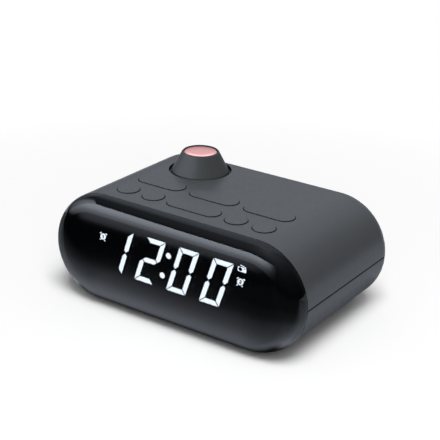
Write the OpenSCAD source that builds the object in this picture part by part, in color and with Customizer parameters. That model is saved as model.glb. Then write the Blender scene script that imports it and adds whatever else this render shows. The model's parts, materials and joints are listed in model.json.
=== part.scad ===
// Projection alarm clock with a radio: a pill-shaped casing with a dark front lens,
// a seven-segment display, keys on top and a projector with a focus ring.
// X runs left to right, -Y is the front, +Z is up. The origin is under the middle.

/* [Casing] */
// Width of the casing
body_w = 162; // [150:1:196]
// Height of the casing without its feet
body_h = 62; // [60:1:75]
// Depth of the casing from the rim of the lens to the back
body_d = 91; // [88:1:110]
// Wall thickness of both shells
wall = 2.2; // [1.8:0.1:2.7]
// Rounding of the back edge
back_r = 9.2; // [6:0.2:12]
// Height of the tongue of the lap joint between the shells
lap_h = 2; // [1.2:0.1:3]

/* [Front lens] */
// How far the lens stands out in front of its rim
lens_bulge = 15.5; // [13:0.5:20]
// Rounding of the edge of the lens
lens_r = 12; // [9:0.5:12.5]
// Wall thickness of the lens
lens_t = 3; // [2.4:0.1:3.4]
// Length of the spigot that plugs into the shells
spigot_l = 4; // [3:0.5:5]
// Wall thickness of the spigot
spigot_t = 1.6; // [1.2:0.1:2]

/* [Display] */
// Height of the digits
digit_h = 27; // [22:0.5:30]
// Width of a digit
digit_w = 12.6; // [9:0.2:13]
// Width of a stroke
stroke_w = 2.8; // [2:0.1:3.4]
// Gap between the strokes of a digit
stroke_gap = 0.5; // [0.3:0.05:0.8]
// Lean of the digits in degrees
slant = 18; // [0:0.5:20]
// Distance from one digit to the next
digit_pitch = 21.5; // [19:0.1:23]
// Left foot of the first digit
digit_x = -44.2; // [-46:0.1:-38]
// Foot of the digits above the underside of the casing
digit_z = 22.2; // [18:0.2:24]
// Radius of the two dots of the colon
dot_r = 1.7; // [1:0.1:2]
// How far the display face lies in front of the lens rim
face_out = 8.7; // [6:0.1:9]
// Depth of the light box behind the display face
box_d = 14; // [12:0.5:18]
// Width of the light box
box_w = 104; // [98:1:108]
// Border of the light box above and below the digits
box_rim = 1.2; // [0.8:0.1:1.6]
// Thickness of the diffusers in the light box
diffuser_t = 1.2; // [0.8:0.1:2]
// Width of the display board
display_board_w = 116; // [108:1:120]

/* [Keys] */
// Radius of the round keys
round_key_r = 6.25; // [5:0.05:6.5]
// Half the width of the long keys of the back row
long_key_r = 5.7; // [4.5:0.1:6]
// Half the width of the snooze key
snooze_r = 5.4; // [4.5:0.1:6]
// How far the long keys reach past the end of the flat top
long_key_over = 0.9; // [0:0.1:1]
// Space between the long keys
long_key_space = 5; // [4:0.1:8]
// Outer round keys in from the end of the flat top
outer_key_in = 5.5; // [5.3:0.1:7]
// Distance between two round keys
round_key_step = 17.3; // [16:0.1:18]
// Space between the snooze key and its neighbours
snooze_space = 4.25; // [3:0.05:6]
// Front row behind the lens rim
front_row = 14; // [13.5:0.1:15]
// Back row behind the lens rim
back_row = 33; // [31:0.1:34]
// How far a key stands above the casing
key_proud = 0.5; // [0.2:0.05:1]
// Open gap round a key
key_gap = 0.35; // [0.3:0.05:0.5]
// Travel of a key
key_travel = 0.6; // [0.3:0.05:0.8]
// Lip that keeps a key in the casing
key_lip = 0.9; // [0.7:0.1:1]
// Depth from the inside of the casing to the key board
key_space = 8; // [7.5:0.5:10]

/* [Projector] */
// Projector in from the left end of the flat top
proj_in = 17.9; // [17.5:0.1:20]
// Projector behind the lens rim
proj_back = 65; // [64:0.5:68]
// Radius of the hole in the casing
proj_hole_r = 18.3; // [17.6:0.1:18.6]
// Radius of the foot of the focus ring
ring_foot_r = 16.6; // [16:0.1:17]
// Radius of the top of the focus ring
ring_top_r = 10.9; // [10.7:0.1:12]
// Height of the focus ring above the casing
ring_h = 11.5; // [9:0.5:14]
// Radius of the projector lens
proj_lens_r = 9.7; // [9.5:0.1:9.8]
// Turn of the focus ring to each side in degrees
focus_turn = 45; // [20:1:45]
// Travel of the lens barrel to each side
focus_lift = 1.5; // [0.8:0.1:1.6]
// Radius of a guide pin
pin_r = 1; // [0.8:0.05:1.2]
// Play of a guide pin in its slots
pin_play = 0.3; // [0.25:0.05:0.35]
// Depth of the collar that the ring turns in
collar_h = 5; // [4.5:0.1:6]
// Length of the projector housing below its flange
house_l = 34; // [32:0.5:36]

/* [Speaker] */
// Radius of the speaker
speaker_r = 22.5; // [20:0.5:23]
// Speaker in from the right end of the flat base
speaker_end = 0.5; // [0.2:0.1:3]
// Speaker in front of the back
speaker_in = 37.25; // [35:0.25:39]
// Width of the slots of the grille
slot_w = 2.2; // [1.6:0.1:2.6]
// Distance between the slots
slot_pitch = 4.4; // [4:0.1:5]
// Slots in the grille
slot_count = 9; // [5:2:9]

/* [Back-up cell] */
// Radius of the coin cell
cell_r = 10; // [8:0.5:11]
// Thickness of the coin cell
cell_t = 3.2; // [2.5:0.1:3.2]
// Cell to the left of the middle
cell_x = 30; // [28:0.5:32]
// Cell behind the lens rim
cell_back = 29.75; // [28:0.25:32]
// Radius of the cap over the cell
cap_r = 12.4; // [12.4:0.1:13]
// Turn that frees the cap in degrees
cap_turn = 45; // [35:1:50]

/* [Boards and screws] */
// Thickness of all circuit boards
board_t = 1.6; // [1:0.1:2]
// Height of the main board above the inside of the base
board_up = 8.6; // [8:0.2:12]
// Radius of a screw that joins the shells
case_screw_r = 1.45; // [1.25:0.05:1.6]
// Radius of the small screws
small_screw_r = 1.1; // [0.9:0.05:1.2]
// Radius of the columns for the screws that join the shells
column_r = 4; // [3.8:0.1:4.4]

/* [Back] */
// Radius of the opening in the power inlet
inlet_r = 3.1; // [2.8:0.05:3.2]
// Power inlet to the left of the middle
inlet_x = 5; // [4.6:0.1:6]
// Radius of the hole for the aerial lead
aerial_r = 2.2; // [1.8:0.1:2.6]
// Aerial lead to the right of the middle
aerial_x = 12; // [11:0.5:20]

/* [Feet] */
// Height of the feet below the casing
foot_h = 1.2; // [0.8:0.1:2]
// Radius of a foot
foot_r = 6; // [4:0.5:6.5]
// Depth of the seat of a foot
foot_seat = 0.8; // [0.5:0.1:1]

/* [Clearances] */
// Gap between pieces that are pushed together
fit_gap = 0.15; // [0.1:0.01:0.2]
// Gap between pieces that move past each other
run_gap = 0.3; // [0.25:0.05:0.35]
// Shadow line between the outer pieces
seam_gap = 0.3; // [0.2:0.05:0.4]

/* [Hidden] */
$fn = 64;
eps = 0.02; // lets a cutter pass through the face it opens

// Main levels and planes
half_h = body_h / 2;
half_l = body_w / 2 - half_h;
rim_y = lens_bulge - (body_d + lens_bulge) / 2;
back_y = rim_y + body_d;
base_z = foot_h;
top_z = base_z + body_h;
axis_z = base_z + half_h;
in_base = base_z + wall;
in_top = top_z - wall;
in_back = back_y - wall;
lap = wall / 2;
root = wall / 2; // how deep posts and columns reach into a wall

// Display
face_y = rim_y - face_out;
box_back = face_y + box_d;
digit_foot = base_z + digit_z;
box_low = digit_foot - box_rim;
box_high = digit_foot + digit_h + box_rim;
digits = ["bc", "abdeg", "abcdef", "abcdef"];
strokes = ["a", "b", "c", "d", "e", "f", "g"];
dot_up = [7.5, 20]; // heights of the colon's dots above the foot of the digits
dot_shift = -0.5; // the colon stands a little left of the middle between its digits
led_size = [2, 1, 1.4];
board_over = 2.4; // how far the display board stands above the light box, in its slots
board_under = 10; // and below it
display_board_low = box_low - board_under;
board_mid_y = box_back + board_t / 2;
slot_play = 0.1; // on each side of the display board
slot_block = [2.4, 3.6]; // width and depth of the upper blocks that hold the display board
slot_foot = [4.8, 3.6, 6]; // the lower ones, and how far up the board they reach
slot_foot_x = display_board_w / 2 - 8;
ribbon_t = 0.5;

// Keys, each with its place, half length and half width
front_y = rim_y + front_row;
row_y = rim_y + back_row;
outer_key_x = half_l - outer_key_in;
inner_key_x = outer_key_x - round_key_step;
snooze_l = 2 * (inner_key_x - round_key_r - snooze_space);
long_key_l = 2 * (half_l + long_key_over - long_key_space) / 3;
long_key_x = long_key_l + long_key_space;
block_x = (outer_key_x + inner_key_x) / 2;
KEY_PLACES = [
    [-outer_key_x, front_y, 0, round_key_r],
    [-inner_key_x, front_y, 0, round_key_r],
    [0, front_y, snooze_l / 2 - snooze_r, snooze_r],
    [inner_key_x, front_y, 0, round_key_r],
    [outer_key_x, front_y, 0, round_key_r],
    [-long_key_x, row_y, long_key_l / 2 - long_key_r, long_key_r],
    [0, row_y, long_key_l / 2 - long_key_r, long_key_r],
    [long_key_x, row_y, long_key_l / 2 - long_key_r, long_key_r]
];
switch_pin = 0.9; // how deep the plunger sits in its switch
key_skin = 1.3;
key_edge = 0.45;
lip_t = 1.1;
lip_top = in_top - run_gap;
stem_r = 1.7;
key_board_z = in_top - key_space;
switch_w = 6;
switch_h = 3.5;
plunger_r = 1.75;
plunger_up = 1.5;
plunger_top = key_board_z + switch_h + plunger_up;
key_board_front = box_back + board_t + 1.65;
key_board_back = row_y + long_key_r + 2.3;
key_boss_r = 2.2;
key_boss_y = (front_y + row_y) / 2 + 0.3;
key_boss_out = outer_key_x + round_key_r + 3.4;
key_boss_x = [-key_boss_out, -18, 18, key_boss_out];
key_board_half = key_boss_out + 3.2;

// Projector, from the outside in: housing, neck of the ring, guide tube, barrel
proj = [proj_in - half_l, rim_y + proj_back, 0];
guide_wall = 1.4;
barrel_wall = 1.3;
neck_wall = 1.9;
house_wall = 1.5;
house_gap = 0.4; // round the neck of the ring
barrel_r = proj_lens_r - 1;
guide_in_r = barrel_r + run_gap;
guide_r = guide_in_r + guide_wall;
neck_in_r = guide_r + run_gap;
neck_r = neck_in_r + neck_wall;
house_in_r = neck_r + house_gap;
house_r = house_in_r + house_wall;
collar_r = proj_hole_r + 1.7;
collar_wall = 1.6;
house_top = in_top - collar_h;
flange_t = 2;
ring_top = top_z + ring_h;
ring_skin = 2;
ring_edge = 0.7;
bore_top_r = proj_lens_r + run_gap;
pin_z = house_top - 6;
floor_top = house_top - 16;
floor_t = 2;
neck_low = floor_top + 4.5;
barrel_low = floor_top + focus_lift + 0.5;
head_low = top_z + 1.8;
lens_seat = ring_top - 2.4;
light_r = 6.6;
ear_r = 3;
ear_out = 24.8;
ear_turn = 25;
ear_angles = [ear_turn, 180 - ear_turn, 180 + ear_turn, 360 - ear_turn];
focus_pitch = 360 * focus_lift / focus_turn;
lamp_r = 2.5;
lamp_flange = [2.9, 1]; // radius and height of the lamp's foot
slide_size = [14, 12, 1.1];

// Speaker and its grille
speaker = [half_l - speaker_end - speaker_r, back_y - speaker_in, 0];
speaker_lip = 1.2;
speaker_h = 16;
basket_top = in_base + speaker_h - 6;
basket_top_r = 15;
magnet_r = 13.5;
hold_angles = [30, 150, 270];
hold_post_r = 2.4;
hold_post_x = speaker_r + 2.6;

// Back-up cell
cell = [-cell_x, rim_y + cell_back, 0];
cap_t = 1.8;
cap_gap = 0.4;
lug_t = 1;
lug_out = 1.6;
lug_span = 24;
notch_span = 32;
lug_low = in_base + run_gap;
ledge_r = cap_r + cap_gap;
cup_r = cap_r + lug_out + cap_gap;
cell_low = lug_low + lug_t + run_gap;
cup_top = cell_low + cell_t + 0.9;
cup_roof = 1.2;
contact_t = 0.25;
contact_w = 3; // width of the contacts of the cell
contact_x = 6; // end of the leaf over the cell
rim_tab_x = cell_r + 0.02; // tab at the rim of the cell
tab_slot = [0.8, contact_w + 0.4];

// Boards and screws
board_low = in_base + board_up;
board_high = board_low + board_t;
column_x = half_l + 13;
column_y = [rim_y + 17.75, back_y - 13.25];
column_split = axis_z - 6.2;
gusset_t = 1.4;
gusset_in = 4; // how far the gussets stop short of the lap joint and the lower columns
head_z = column_split - 6;
case_head_r = 2.8;
case_head_t = 2;
case_hole_r = 3.3;
small_head_r = 2.1;
small_head_t = 1.4;
small_screw_l = 5;
screw_play = 0.2; // round a small screw in a board
pilot_r = small_screw_r - 0.05;
boss_r = 2.8;
board_x = half_l + 7;
board_front = rim_y + 10.75;
board_step = speaker[1] - speaker_r - 2.6;
board_back = back_y - 7.25;
boss_in = [3, 4]; // bosses in from the corners of the main board
boss_places = [
    [boss_in[0] - board_x, board_front + boss_in[1]], [board_x - boss_in[0], board_front + boss_in[1]],
    [boss_in[0] - board_x, board_back - boss_in[1]], [-16, board_back - boss_in[1]]
];

// Back
inlet_z = board_high + 6;
inlet_body = [9, 14, 11];
inlet_snout_r = inlet_r + 0.8;
inlet_low_y = in_back - 0.55 - inlet_body[1];
board_right = inlet_body[0] / 2 + 1.5 - inlet_x;
inlet_pin_r = 1;

// Feet
foot_x = half_l - 9;
foot_y = [rim_y + 9.75, back_y - 15.25];

casing_col = [0.30, 0.31, 0.325];
lens_col = [0.02, 0.02, 0.025];
board_col = [0.05, 0.25, 0.12];
metal_col = [0.72, 0.72, 0.74];

// ---------- shapes used again and again ----------

// Turns a profile of radius (x) against height (y) about Z and stretches it along X
module stadium(half) {
    if (half > 0) {
        for (side = [-1, 1])
            translate([side * half, 0, 0])
                rotate([0, 0, -90 * side])
                    rotate_extrude(angle = 180) children();
        translate([-half, 0, 0])
            rotate([90, 0, 90])
                linear_extrude(2 * half) {
                    children();
                    mirror([1, 0]) children();
                }
    } else {
        rotate_extrude() children();
    }
}

// The same, lying down: the profile's height runs along +Y, as on the casing
module pill() {
    translate([0, 0, axis_z]) rotate([-90, 0, 0]) stadium(half_l) children();
}

// Outline of the casing, drawn in by inset, from the lens rim to the back
module casing_profile(inset, front = 0) {
    radius = half_h - inset;
    edge = back_r - inset;
    start = rim_y - front;
    end = back_y - inset;
    translate([0, start]) square([radius, end - edge - start]);
    translate([0, start]) square([radius - edge, end - start]);
    translate([radius - edge, end - edge]) circle(edge);
}

// Outline of the lens, drawn in by inset: a shallow crown and a rounded edge that
// leaves the rim square to it. Both arcs keep their centres, so the wall is even
module lens_profile(inset) {
    edge_x = half_h - lens_r;
    crown_r = (edge_x * edge_x + lens_bulge * lens_bulge - lens_r * lens_r)
        / (2 * (lens_bulge - lens_r));
    crown_y = crown_r - lens_bulge;
    meet_x = edge_x * (crown_r - inset) / (crown_r - lens_r);
    translate([0, rim_y])
        intersection() {
            translate([0, crown_y]) circle(crown_r - inset);
            translate([0, -lens_bulge]) square([meet_x, lens_bulge]);
        }
    translate([0, rim_y])
        intersection() {
            translate([edge_x, 0]) circle(lens_r - inset);
            translate([meet_x, -lens_bulge]) square([half_h, lens_bulge]);
        }
}

// A slab across the whole object between two heights
module layer(low, high) {
    reach = body_w + body_d;
    translate([-reach / 2, -reach / 2, low]) cube([reach, reach, high - low]);
}

// A ring standing on its lower end
module tube(outer, inner, low, high) {
    translate([0, 0, low])
        rotate_extrude()
            translate([inner, 0]) square([outer - inner, high - low]);
}

module post(radius, low, high) {
    translate([0, 0, low]) cylinder(r = radius, h = high - low);
}

// ---------- shells ----------

// Ribs between the columns for the casing screws and the side walls
module gussets(low, high) {
    for (x = [-body_w / 2, column_x], y = column_y)
        translate([x, y - gusset_t / 2, low])
            cube([body_w / 2 - column_x, gusset_t, high - low]);
}

module upper_columns() {
    for (x = [-column_x, column_x], y = column_y)
        translate([x, y, 0]) post(column_r, column_split, top_z);
    gussets(axis_z + lap_h + gusset_in, top_z);
    for (x = key_boss_x)
        translate([x, key_boss_y, 0]) post(key_boss_r, key_board_z, top_z);
    for (angle = ear_angles)
        translate(proj) rotate([0, 0, angle]) translate([ear_out, 0, 0]) post(ear_r, house_top, top_z);
    translate(proj) tube(collar_r + collar_wall, collar_r, house_top, top_z);
    for (x = [-block_x, block_x])
        translate([x - slot_block[0] / 2, board_mid_y - slot_block[1] / 2, box_high + 0.4])
            cube([slot_block[0], slot_block[1], top_z - box_high]);
}

module upper_pilots() {
    for (x = [-column_x, column_x], y = column_y)
        translate([x, y, 0]) post(case_screw_r - 0.15, column_split - eps, column_split + 12);
    for (x = key_boss_x)
        translate([x, key_boss_y, 0]) post(pilot_r, key_board_z - eps, key_board_z + small_screw_l);
    for (angle = ear_angles)
        translate(proj) rotate([0, 0, angle]) translate([ear_out, 0, 0])
            post(pilot_r, house_top - eps, house_top + small_screw_l - 1);
    for (x = [-block_x, block_x])
        translate([x - slot_block[0] / 2 - eps, box_back - slot_play, box_high])
            cube([slot_block[0] + 2 * eps, board_t + 2 * slot_play, board_over + slot_play]);
}

module upper_casing() {
    color(casing_col)
        difference() {
            union() {
                difference() {
                    intersection() {
                        pill() casing_profile(0);
                        layer(axis_z + seam_gap, top_z + 1);
                    }
                    pill() casing_profile(wall, 1);
                    intersection() {
                        pill() casing_profile(lap, 1);
                        layer(axis_z, axis_z + lap_h);
                    }
                }
                intersection() {
                    upper_columns();
                    pill() casing_profile(root);
                }
            }
            upper_pilots();
            translate(proj) post(proj_hole_r, in_top - 1, top_z + 1);
            translate(proj) post(collar_r, house_top - 1, in_top);
            for (key = KEY_PLACES)
                translate([key[0], key[1], in_top - 1])
                    stadium(key[2]) square([key[3] + key_gap, wall + 2]);
        }
}

module grille_slots() {
    middle = (slot_count - 1) / 2;
    for (i = [0 : slot_count - 1]) {
        y = (i - middle) * slot_pitch;
        half = sqrt(pow(speaker_r - 4.2, 2) - y * y) - slot_w / 2;
        translate([speaker[0], speaker[1] + y, base_z - 1])
            stadium(half) square([slot_w / 2, wall + 2]);
    }
}

module lower_columns() {
    for (x = [-column_x, column_x], y = column_y)
        translate([x, y, 0]) post(column_r, base_z, column_split);
    gussets(base_z, column_split - gusset_in);
    for (place = boss_places)
        translate([place[0], place[1], 0]) post(boss_r, base_z, board_low);
    for (angle = hold_angles)
        translate(speaker) rotate([0, 0, angle]) translate([hold_post_x, 0, 0])
            post(hold_post_r, base_z, in_base + speaker_lip);
    for (x = [-slot_foot_x, slot_foot_x])
        translate([x - slot_foot[0] / 2, board_mid_y - slot_foot[1] / 2, base_z])
            cube([slot_foot[0], slot_foot[1], display_board_low + slot_foot[2] - base_z]);
    translate(cell) post(cup_r + 1.6, base_z, cup_top + cup_roof);
}

module lower_casing() {
    color(casing_col)
        difference() {
            union() {
                difference() {
                    intersection() {
                        pill() casing_profile(0);
                        layer(base_z - 1, axis_z);
                    }
                    pill() casing_profile(wall, 1);
                }
                difference() {
                    intersection() {
                        pill() casing_profile(lap + fit_gap);
                        layer(axis_z - 1, axis_z + lap_h);
                    }
                    pill() casing_profile(wall, 1);
                }
                intersection() {
                    lower_columns();
                    pill() casing_profile(root);
                }
            }
            // screw holes and their deep counterbores
            for (x = [-column_x, column_x], y = column_y)
                translate([x, y, 0]) {
                    post(case_screw_r + 0.25, base_z - 1, column_split + 1);
                    post(case_hole_r, base_z - 1, head_z);
                }
            for (place = boss_places)
                translate([place[0], place[1], 0]) post(pilot_r, board_low - small_screw_l, board_low + 1);
            for (angle = hold_angles)
                translate(speaker) rotate([0, 0, angle]) translate([hold_post_x, 0, 0])
                    post(pilot_r, base_z + 0.8, in_base + 2);
            // slots that take the lower edge of the display board
            for (x = [-slot_foot_x, slot_foot_x])
                translate([x - slot_foot[0], box_back - slot_play, display_board_low])
                    cube([2 * slot_foot[0], board_t + 2 * slot_play, box_low]);
            // cell room, its lid opening, the slots of its contacts and the three notches for the lugs
            translate(cell) {
                for (x = [contact_x, rim_tab_x])
                    translate([x + contact_t / 2 - tab_slot[0] / 2, -tab_slot[1] / 2, cup_top - 1])
                        cube([tab_slot[0], tab_slot[1], cup_roof + 2]);
                post(cell_r + 0.4, base_z - 1, cup_top);
                post(ledge_r, base_z - 1, lug_low);
                post(cup_r, in_base, cell_low);
                for (i = [0 : 2])
                    rotate([0, 0, 120 * i - cap_turn - notch_span / 2])
                        rotate_extrude(angle = notch_span)
                            translate([cap_r - 1, base_z - 1]) square([lug_out + 1.25, lug_low + 1]);
            }
            grille_slots();
            for (x = [-foot_x, foot_x], y = foot_y)
                translate([x, y, 0]) post(foot_r + fit_gap, base_z - 1, base_z + foot_seat);
            translate([-inlet_x, in_back - 4, inlet_z])
                rotate([-90, 0, 0]) cylinder(r = inlet_snout_r + fit_gap, h = wall + 6);
            translate([aerial_x, in_back - 1, inlet_z])
                rotate([-90, 0, 0]) cylinder(r = aerial_r, h = wall + 2);
        }
}

module front_lens() {
    shadow_d = 0.7;
    spigot_root = 2.4;
    color(lens_col)
        union() {
            difference() {
                pill() lens_profile(0);
                pill() lens_profile(lens_t);
                // shadow line along the rim of the casing
                pill() translate([half_h - shadow_d, rim_y - seam_gap]) square([2, 1]);
            }
            pill()
                translate([half_h - wall - fit_gap - spigot_t, rim_y - spigot_root])
                    square([spigot_t, spigot_l + spigot_root]);
        }
}

// ---------- display ----------

function across(points) = [for (p = points) [digit_w - p[0], p[1]]];
function upside(points) = [for (p = points) [p[0], digit_h - p[1]]];

// Outline of one stroke: mitred at the corners, pointed where strokes meet halfway
function stroke(name) =
    let (gap = stroke_gap * 0.71, mid = digit_h / 2, s = stroke_w)
    let (top = [[gap, digit_h], [digit_w - gap, digit_h],
                [digit_w - s - gap, digit_h - s], [s + gap, digit_h - s]],
         side = [[0, digit_h - gap], [s, digit_h - s - gap], [s, mid + s / 2 + gap],
                 [s / 2, mid + gap], [0, mid + s / 2 + gap]],
         bar = [[s / 2 + gap, mid], [s + gap, mid + s / 2], [digit_w - s - gap, mid + s / 2],
                [digit_w - s / 2 - gap, mid], [digit_w - s - gap, mid - s / 2],
                [s + gap, mid - s / 2]])
    name == "a" ? top :
    name == "d" ? upside(top) :
    name == "f" ? side :
    name == "b" ? across(side) :
    name == "e" ? upside(side) :
    name == "c" ? across(upside(side)) : bar;

function leaned(points) = [for (p = points) [p[0] + p[1] * tan(slant), p[1]]];

function is_lit(digit, name) = len(search(name, digits[digit])) > 0;

// The strokes of all digits, and the colon, as prisms between two depths
module stroke_prisms(low_y, high_y, lit, dark) {
    for (d = [0 : len(digits) - 1], name = strokes)
        if (is_lit(d, name) ? lit : dark)
            translate([digit_x + d * digit_pitch, high_y, digit_foot])
                rotate([90, 0, 0])
                    linear_extrude(high_y - low_y) polygon(leaned(stroke(name)));
    if (lit)
        for (up = dot_up)
            translate([colon_x(up), high_y, digit_foot + up])
                rotate([90, 0, 0]) cylinder(r = dot_r, h = high_y - low_y);
}

function colon_x(up) =
    digit_x + 1.5 * digit_pitch + digit_w / 2 + up * tan(slant) + dot_shift;

module light_box() {
    color([0.03, 0.03, 0.035])
        difference() {
            translate([-box_w / 2, face_y, box_low]) cube([box_w, box_d, box_high - box_low]);
            stroke_prisms(face_y - 1, box_back + 1, true, true);
        }
}

module lit_segments() {
    color([0.92, 0.96, 1]) stroke_prisms(face_y, face_y + diffuser_t, true, false);
}

module dark_segments() {
    color([0.05, 0.05, 0.06]) stroke_prisms(face_y, face_y + diffuser_t, false, true);
}

// One lamp behind the middle of each stroke and dot
function middle(points) = [for (i = [0, 1]) sum([for (p = points) p[i]]) / len(points)];
function sum(v, i = 0) = i < len(v) ? v[i] + sum(v, i + 1) : 0;

module display_leds() {
    color([0.95, 0.9, 0.6]) {
        for (d = [0 : len(digits) - 1], name = strokes) {
            spot = middle(leaned(stroke(name)));
            translate([digit_x + d * digit_pitch + spot[0], box_back - led_size[1] / 2,
                       digit_foot + spot[1]])
                cube(led_size, center = true);
        }
        for (up = dot_up)
            translate([colon_x(up), box_back - led_size[1] / 2, digit_foot + up])
                cube([led_size[2], led_size[1], led_size[2]], center = true);
    }
}

module display_board() {
    color(board_col)
        translate([-display_board_w / 2, box_back, display_board_low])
            cube([display_board_w, board_t, box_high + board_over - display_board_low]);
}

// Flat cable that bends down from the display board to the main board
module display_ribbon() {
    bend = board_front - box_back - board_t + 4;
    width = 24;
    color([0.75, 0.75, 0.78])
        translate([-width / 2, box_back + board_t, board_high])
            rotate([90, 0, 90])
                linear_extrude(width)
                    intersection() {
                        difference() {
                            circle(bend);
                            circle(bend - ribbon_t);
                        }
                        square(bend + 1);
                    }
}

// ---------- keys ----------

// Cap of key number i: a hollow plug with a rounded edge, a lip and a stem
module key_cap(i) {
    key = KEY_PLACES[i];
    radius = key[3];
    crest = top_z + key_proud;
    color([0.32, 0.33, 0.345])
        translate([key[0], key[1], 0]) {
            stadium(key[2])
                difference() {
                    union() {
                        translate([0, lip_top - lip_t])
                            square([radius, crest - key_edge - lip_top + lip_t]);
                        translate([0, lip_top - lip_t])
                            square([radius - key_edge, crest - lip_top + lip_t]);
                        translate([radius - key_edge, crest - key_edge]) circle(key_edge);
                        translate([0, lip_top - lip_t]) square([radius + key_lip, lip_t]);
                    }
                    translate([-eps, lip_top - lip_t - eps])
                        square([radius - key_skin + eps, crest - key_skin - lip_top + lip_t + eps]);
                }
            post(stem_r, plunger_top, crest - key_skin + eps);
        }
}

// Moving pin of the switch under key number i
module key_plunger(i) {
    key = KEY_PLACES[i];
    color([0.1, 0.1, 0.1])
        translate([key[0], key[1], 0])
            post(plunger_r, plunger_top - plunger_up - switch_pin, plunger_top);
}

module alarm_1_button() { key_cap(0); }
module alarm_2_button() { key_cap(1); }
module snooze_button() { key_cap(2); }
module hour_button() { key_cap(3); }
module minute_button() { key_cap(4); }
module projector_button() { key_cap(5); }
module radio_button() { key_cap(6); }
module memory_button() { key_cap(7); }
module alarm_1_plunger() { key_plunger(0); }
module alarm_2_plunger() { key_plunger(1); }
module snooze_plunger() { key_plunger(2); }
module hour_plunger() { key_plunger(3); }
module minute_plunger() { key_plunger(4); }
module projector_plunger() { key_plunger(5); }
module radio_plunger() { key_plunger(6); }
module memory_plunger() { key_plunger(7); }

module key_board() {
    color(board_col)
        difference() {
            translate([-key_board_half, key_board_front, key_board_z - board_t])
                cube([2 * key_board_half, key_board_back - key_board_front, board_t]);
            for (x = key_boss_x)
                translate([x, key_boss_y, 0])
                    post(small_screw_r + screw_play, key_board_z - board_t - 1, key_board_z + 1);
        }
}

module key_switches() {
    color([0.12, 0.12, 0.13])
        for (key = KEY_PLACES)
            translate([key[0], key[1], key_board_z])
                difference() {
                    translate([-switch_w / 2, -switch_w / 2, 0]) cube([switch_w, switch_w, switch_h]);
                    translate([0, 0, switch_h - switch_pin - key_travel - run_gap])
                        cylinder(r = plunger_r + run_gap, h = switch_h);
                }
}

// Flat cable between the key board and the main board
module key_ribbon() {
    color([0.75, 0.75, 0.78])
        translate([22, board_front + 2, board_high])
            cube([14, ribbon_t, key_board_z - board_t - board_high]);
}

// ---------- boards ----------

module main_board() {
    color(board_col)
        difference() {
            translate([0, 0, board_low])
                linear_extrude(board_t)
                    polygon([
                        [-board_x, board_front], [board_x, board_front], [board_x, board_step],
                        [board_right, board_step], [board_right, board_back], [-board_x, board_back]
                    ]);
            for (place = boss_places)
                translate([place[0], place[1], 0])
                    post(small_screw_r + screw_play, board_low - 1, board_high + 1);
        }
}

// Clock chip, tuner can, sound chip and three capacitors
module board_components() {
    clock_chip = [14, 10, 1.8];
    sound_chip = [8, 6, 1.6];
    tuner_can = [18, 13, 4];
    row = board_front + 5;
    capacitor = [3, 7]; // radius and height
    color([0.08, 0.08, 0.09]) {
        translate([-8, row, board_high]) cube(clock_chip);
        translate([board_x - 19, row, board_high]) cube(sound_chip);
    }
    color(metal_col) translate([5 - board_x, 0, board_high]) cube(tuner_can);
    color([0.1, 0.12, 0.3])
        for (i = [0 : 2])
            translate([8 * i - 22, 6, 0])
                post(capacitor[0], board_high, board_high + capacitor[1]);
}

module small_screw(z) {
    post(small_screw_r - 0.1, z - small_screw_l + 1.4, z);
    post(small_head_r, z, z + small_head_t);
}

// Every small screw is the same: head on what it holds, thread in its boss
module small_screws() {
    color(metal_col) {
        for (place = boss_places)
            translate([place[0], place[1], 0]) small_screw(board_high);
        for (x = key_boss_x)
            translate([x, key_boss_y, key_board_z - board_t]) rotate([180, 0, 0]) small_screw(0);
        for (angle = ear_angles)
            translate(proj) rotate([0, 0, angle])
                translate([ear_out, 0, house_top - flange_t]) rotate([180, 0, 0]) small_screw(0);
        for (angle = hold_angles)
            translate(speaker) rotate([0, 0, angle]) translate([hold_post_x, 0, 0]) {
                post(small_screw_r - 0.1, base_z + 1.2, in_base + speaker_lip);
                post(small_head_r + 1.2, in_base + speaker_lip, in_base + speaker_lip + small_head_t);
            }
    }
}

module casing_screws() {
    color(metal_col)
        for (x = [-column_x, column_x], y = column_y)
            translate([x, y, 0])
                difference() {
                    union() {
                        post(case_head_r, head_z - case_head_t, head_z);
                        post(case_screw_r - 0.2, head_z, column_split + 10);
                    }
                    // cross recess
                    for (turn = [0, 90])
                        rotate([0, 0, turn])
                            translate([-1.6, -0.35, head_z - case_head_t - 1]) cube([3.2, 0.7, 2.1]);
                }
}

// ---------- projector ----------

// Cutter for one helical slot, with round ends, that starts at angle zero
module helix_cutter(inner, outer, width, span, pitch) {
    steps = 20;
    rings = [for (i = [0 : steps])
        let (turn = span * (i / steps - 0.5), z = -pitch * turn / 360)
        [for (c = [[inner, -1], [outer, -1], [outer, 1], [inner, 1]])
            [c[0] * cos(turn), c[0] * sin(turn), z + c[1] * width / 2]]];
    points = [for (ring = rings) for (p = ring) p];
    sides = [for (i = [0 : steps - 1]) for (j = [0 : 3])
        let (a = 4 * i + j, b = 4 * i + (j + 1) % 4)
        each [[a, b, a + 4], [b, b + 4, a + 4]]];
    last = 4 * steps;
    polyhedron(points, concat(sides, [[0, 2, 1], [0, 3, 2]],
        [[last, last + 1, last + 2], [last, last + 2, last + 3]]));
    for (end = [-1, 1])
        rotate([0, 0, end * span / 2])
            translate([inner, 0, -pitch * end * span / 720])
                rotate([0, 90, 0]) cylinder(r = width / 2, h = outer - inner);
}

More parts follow.
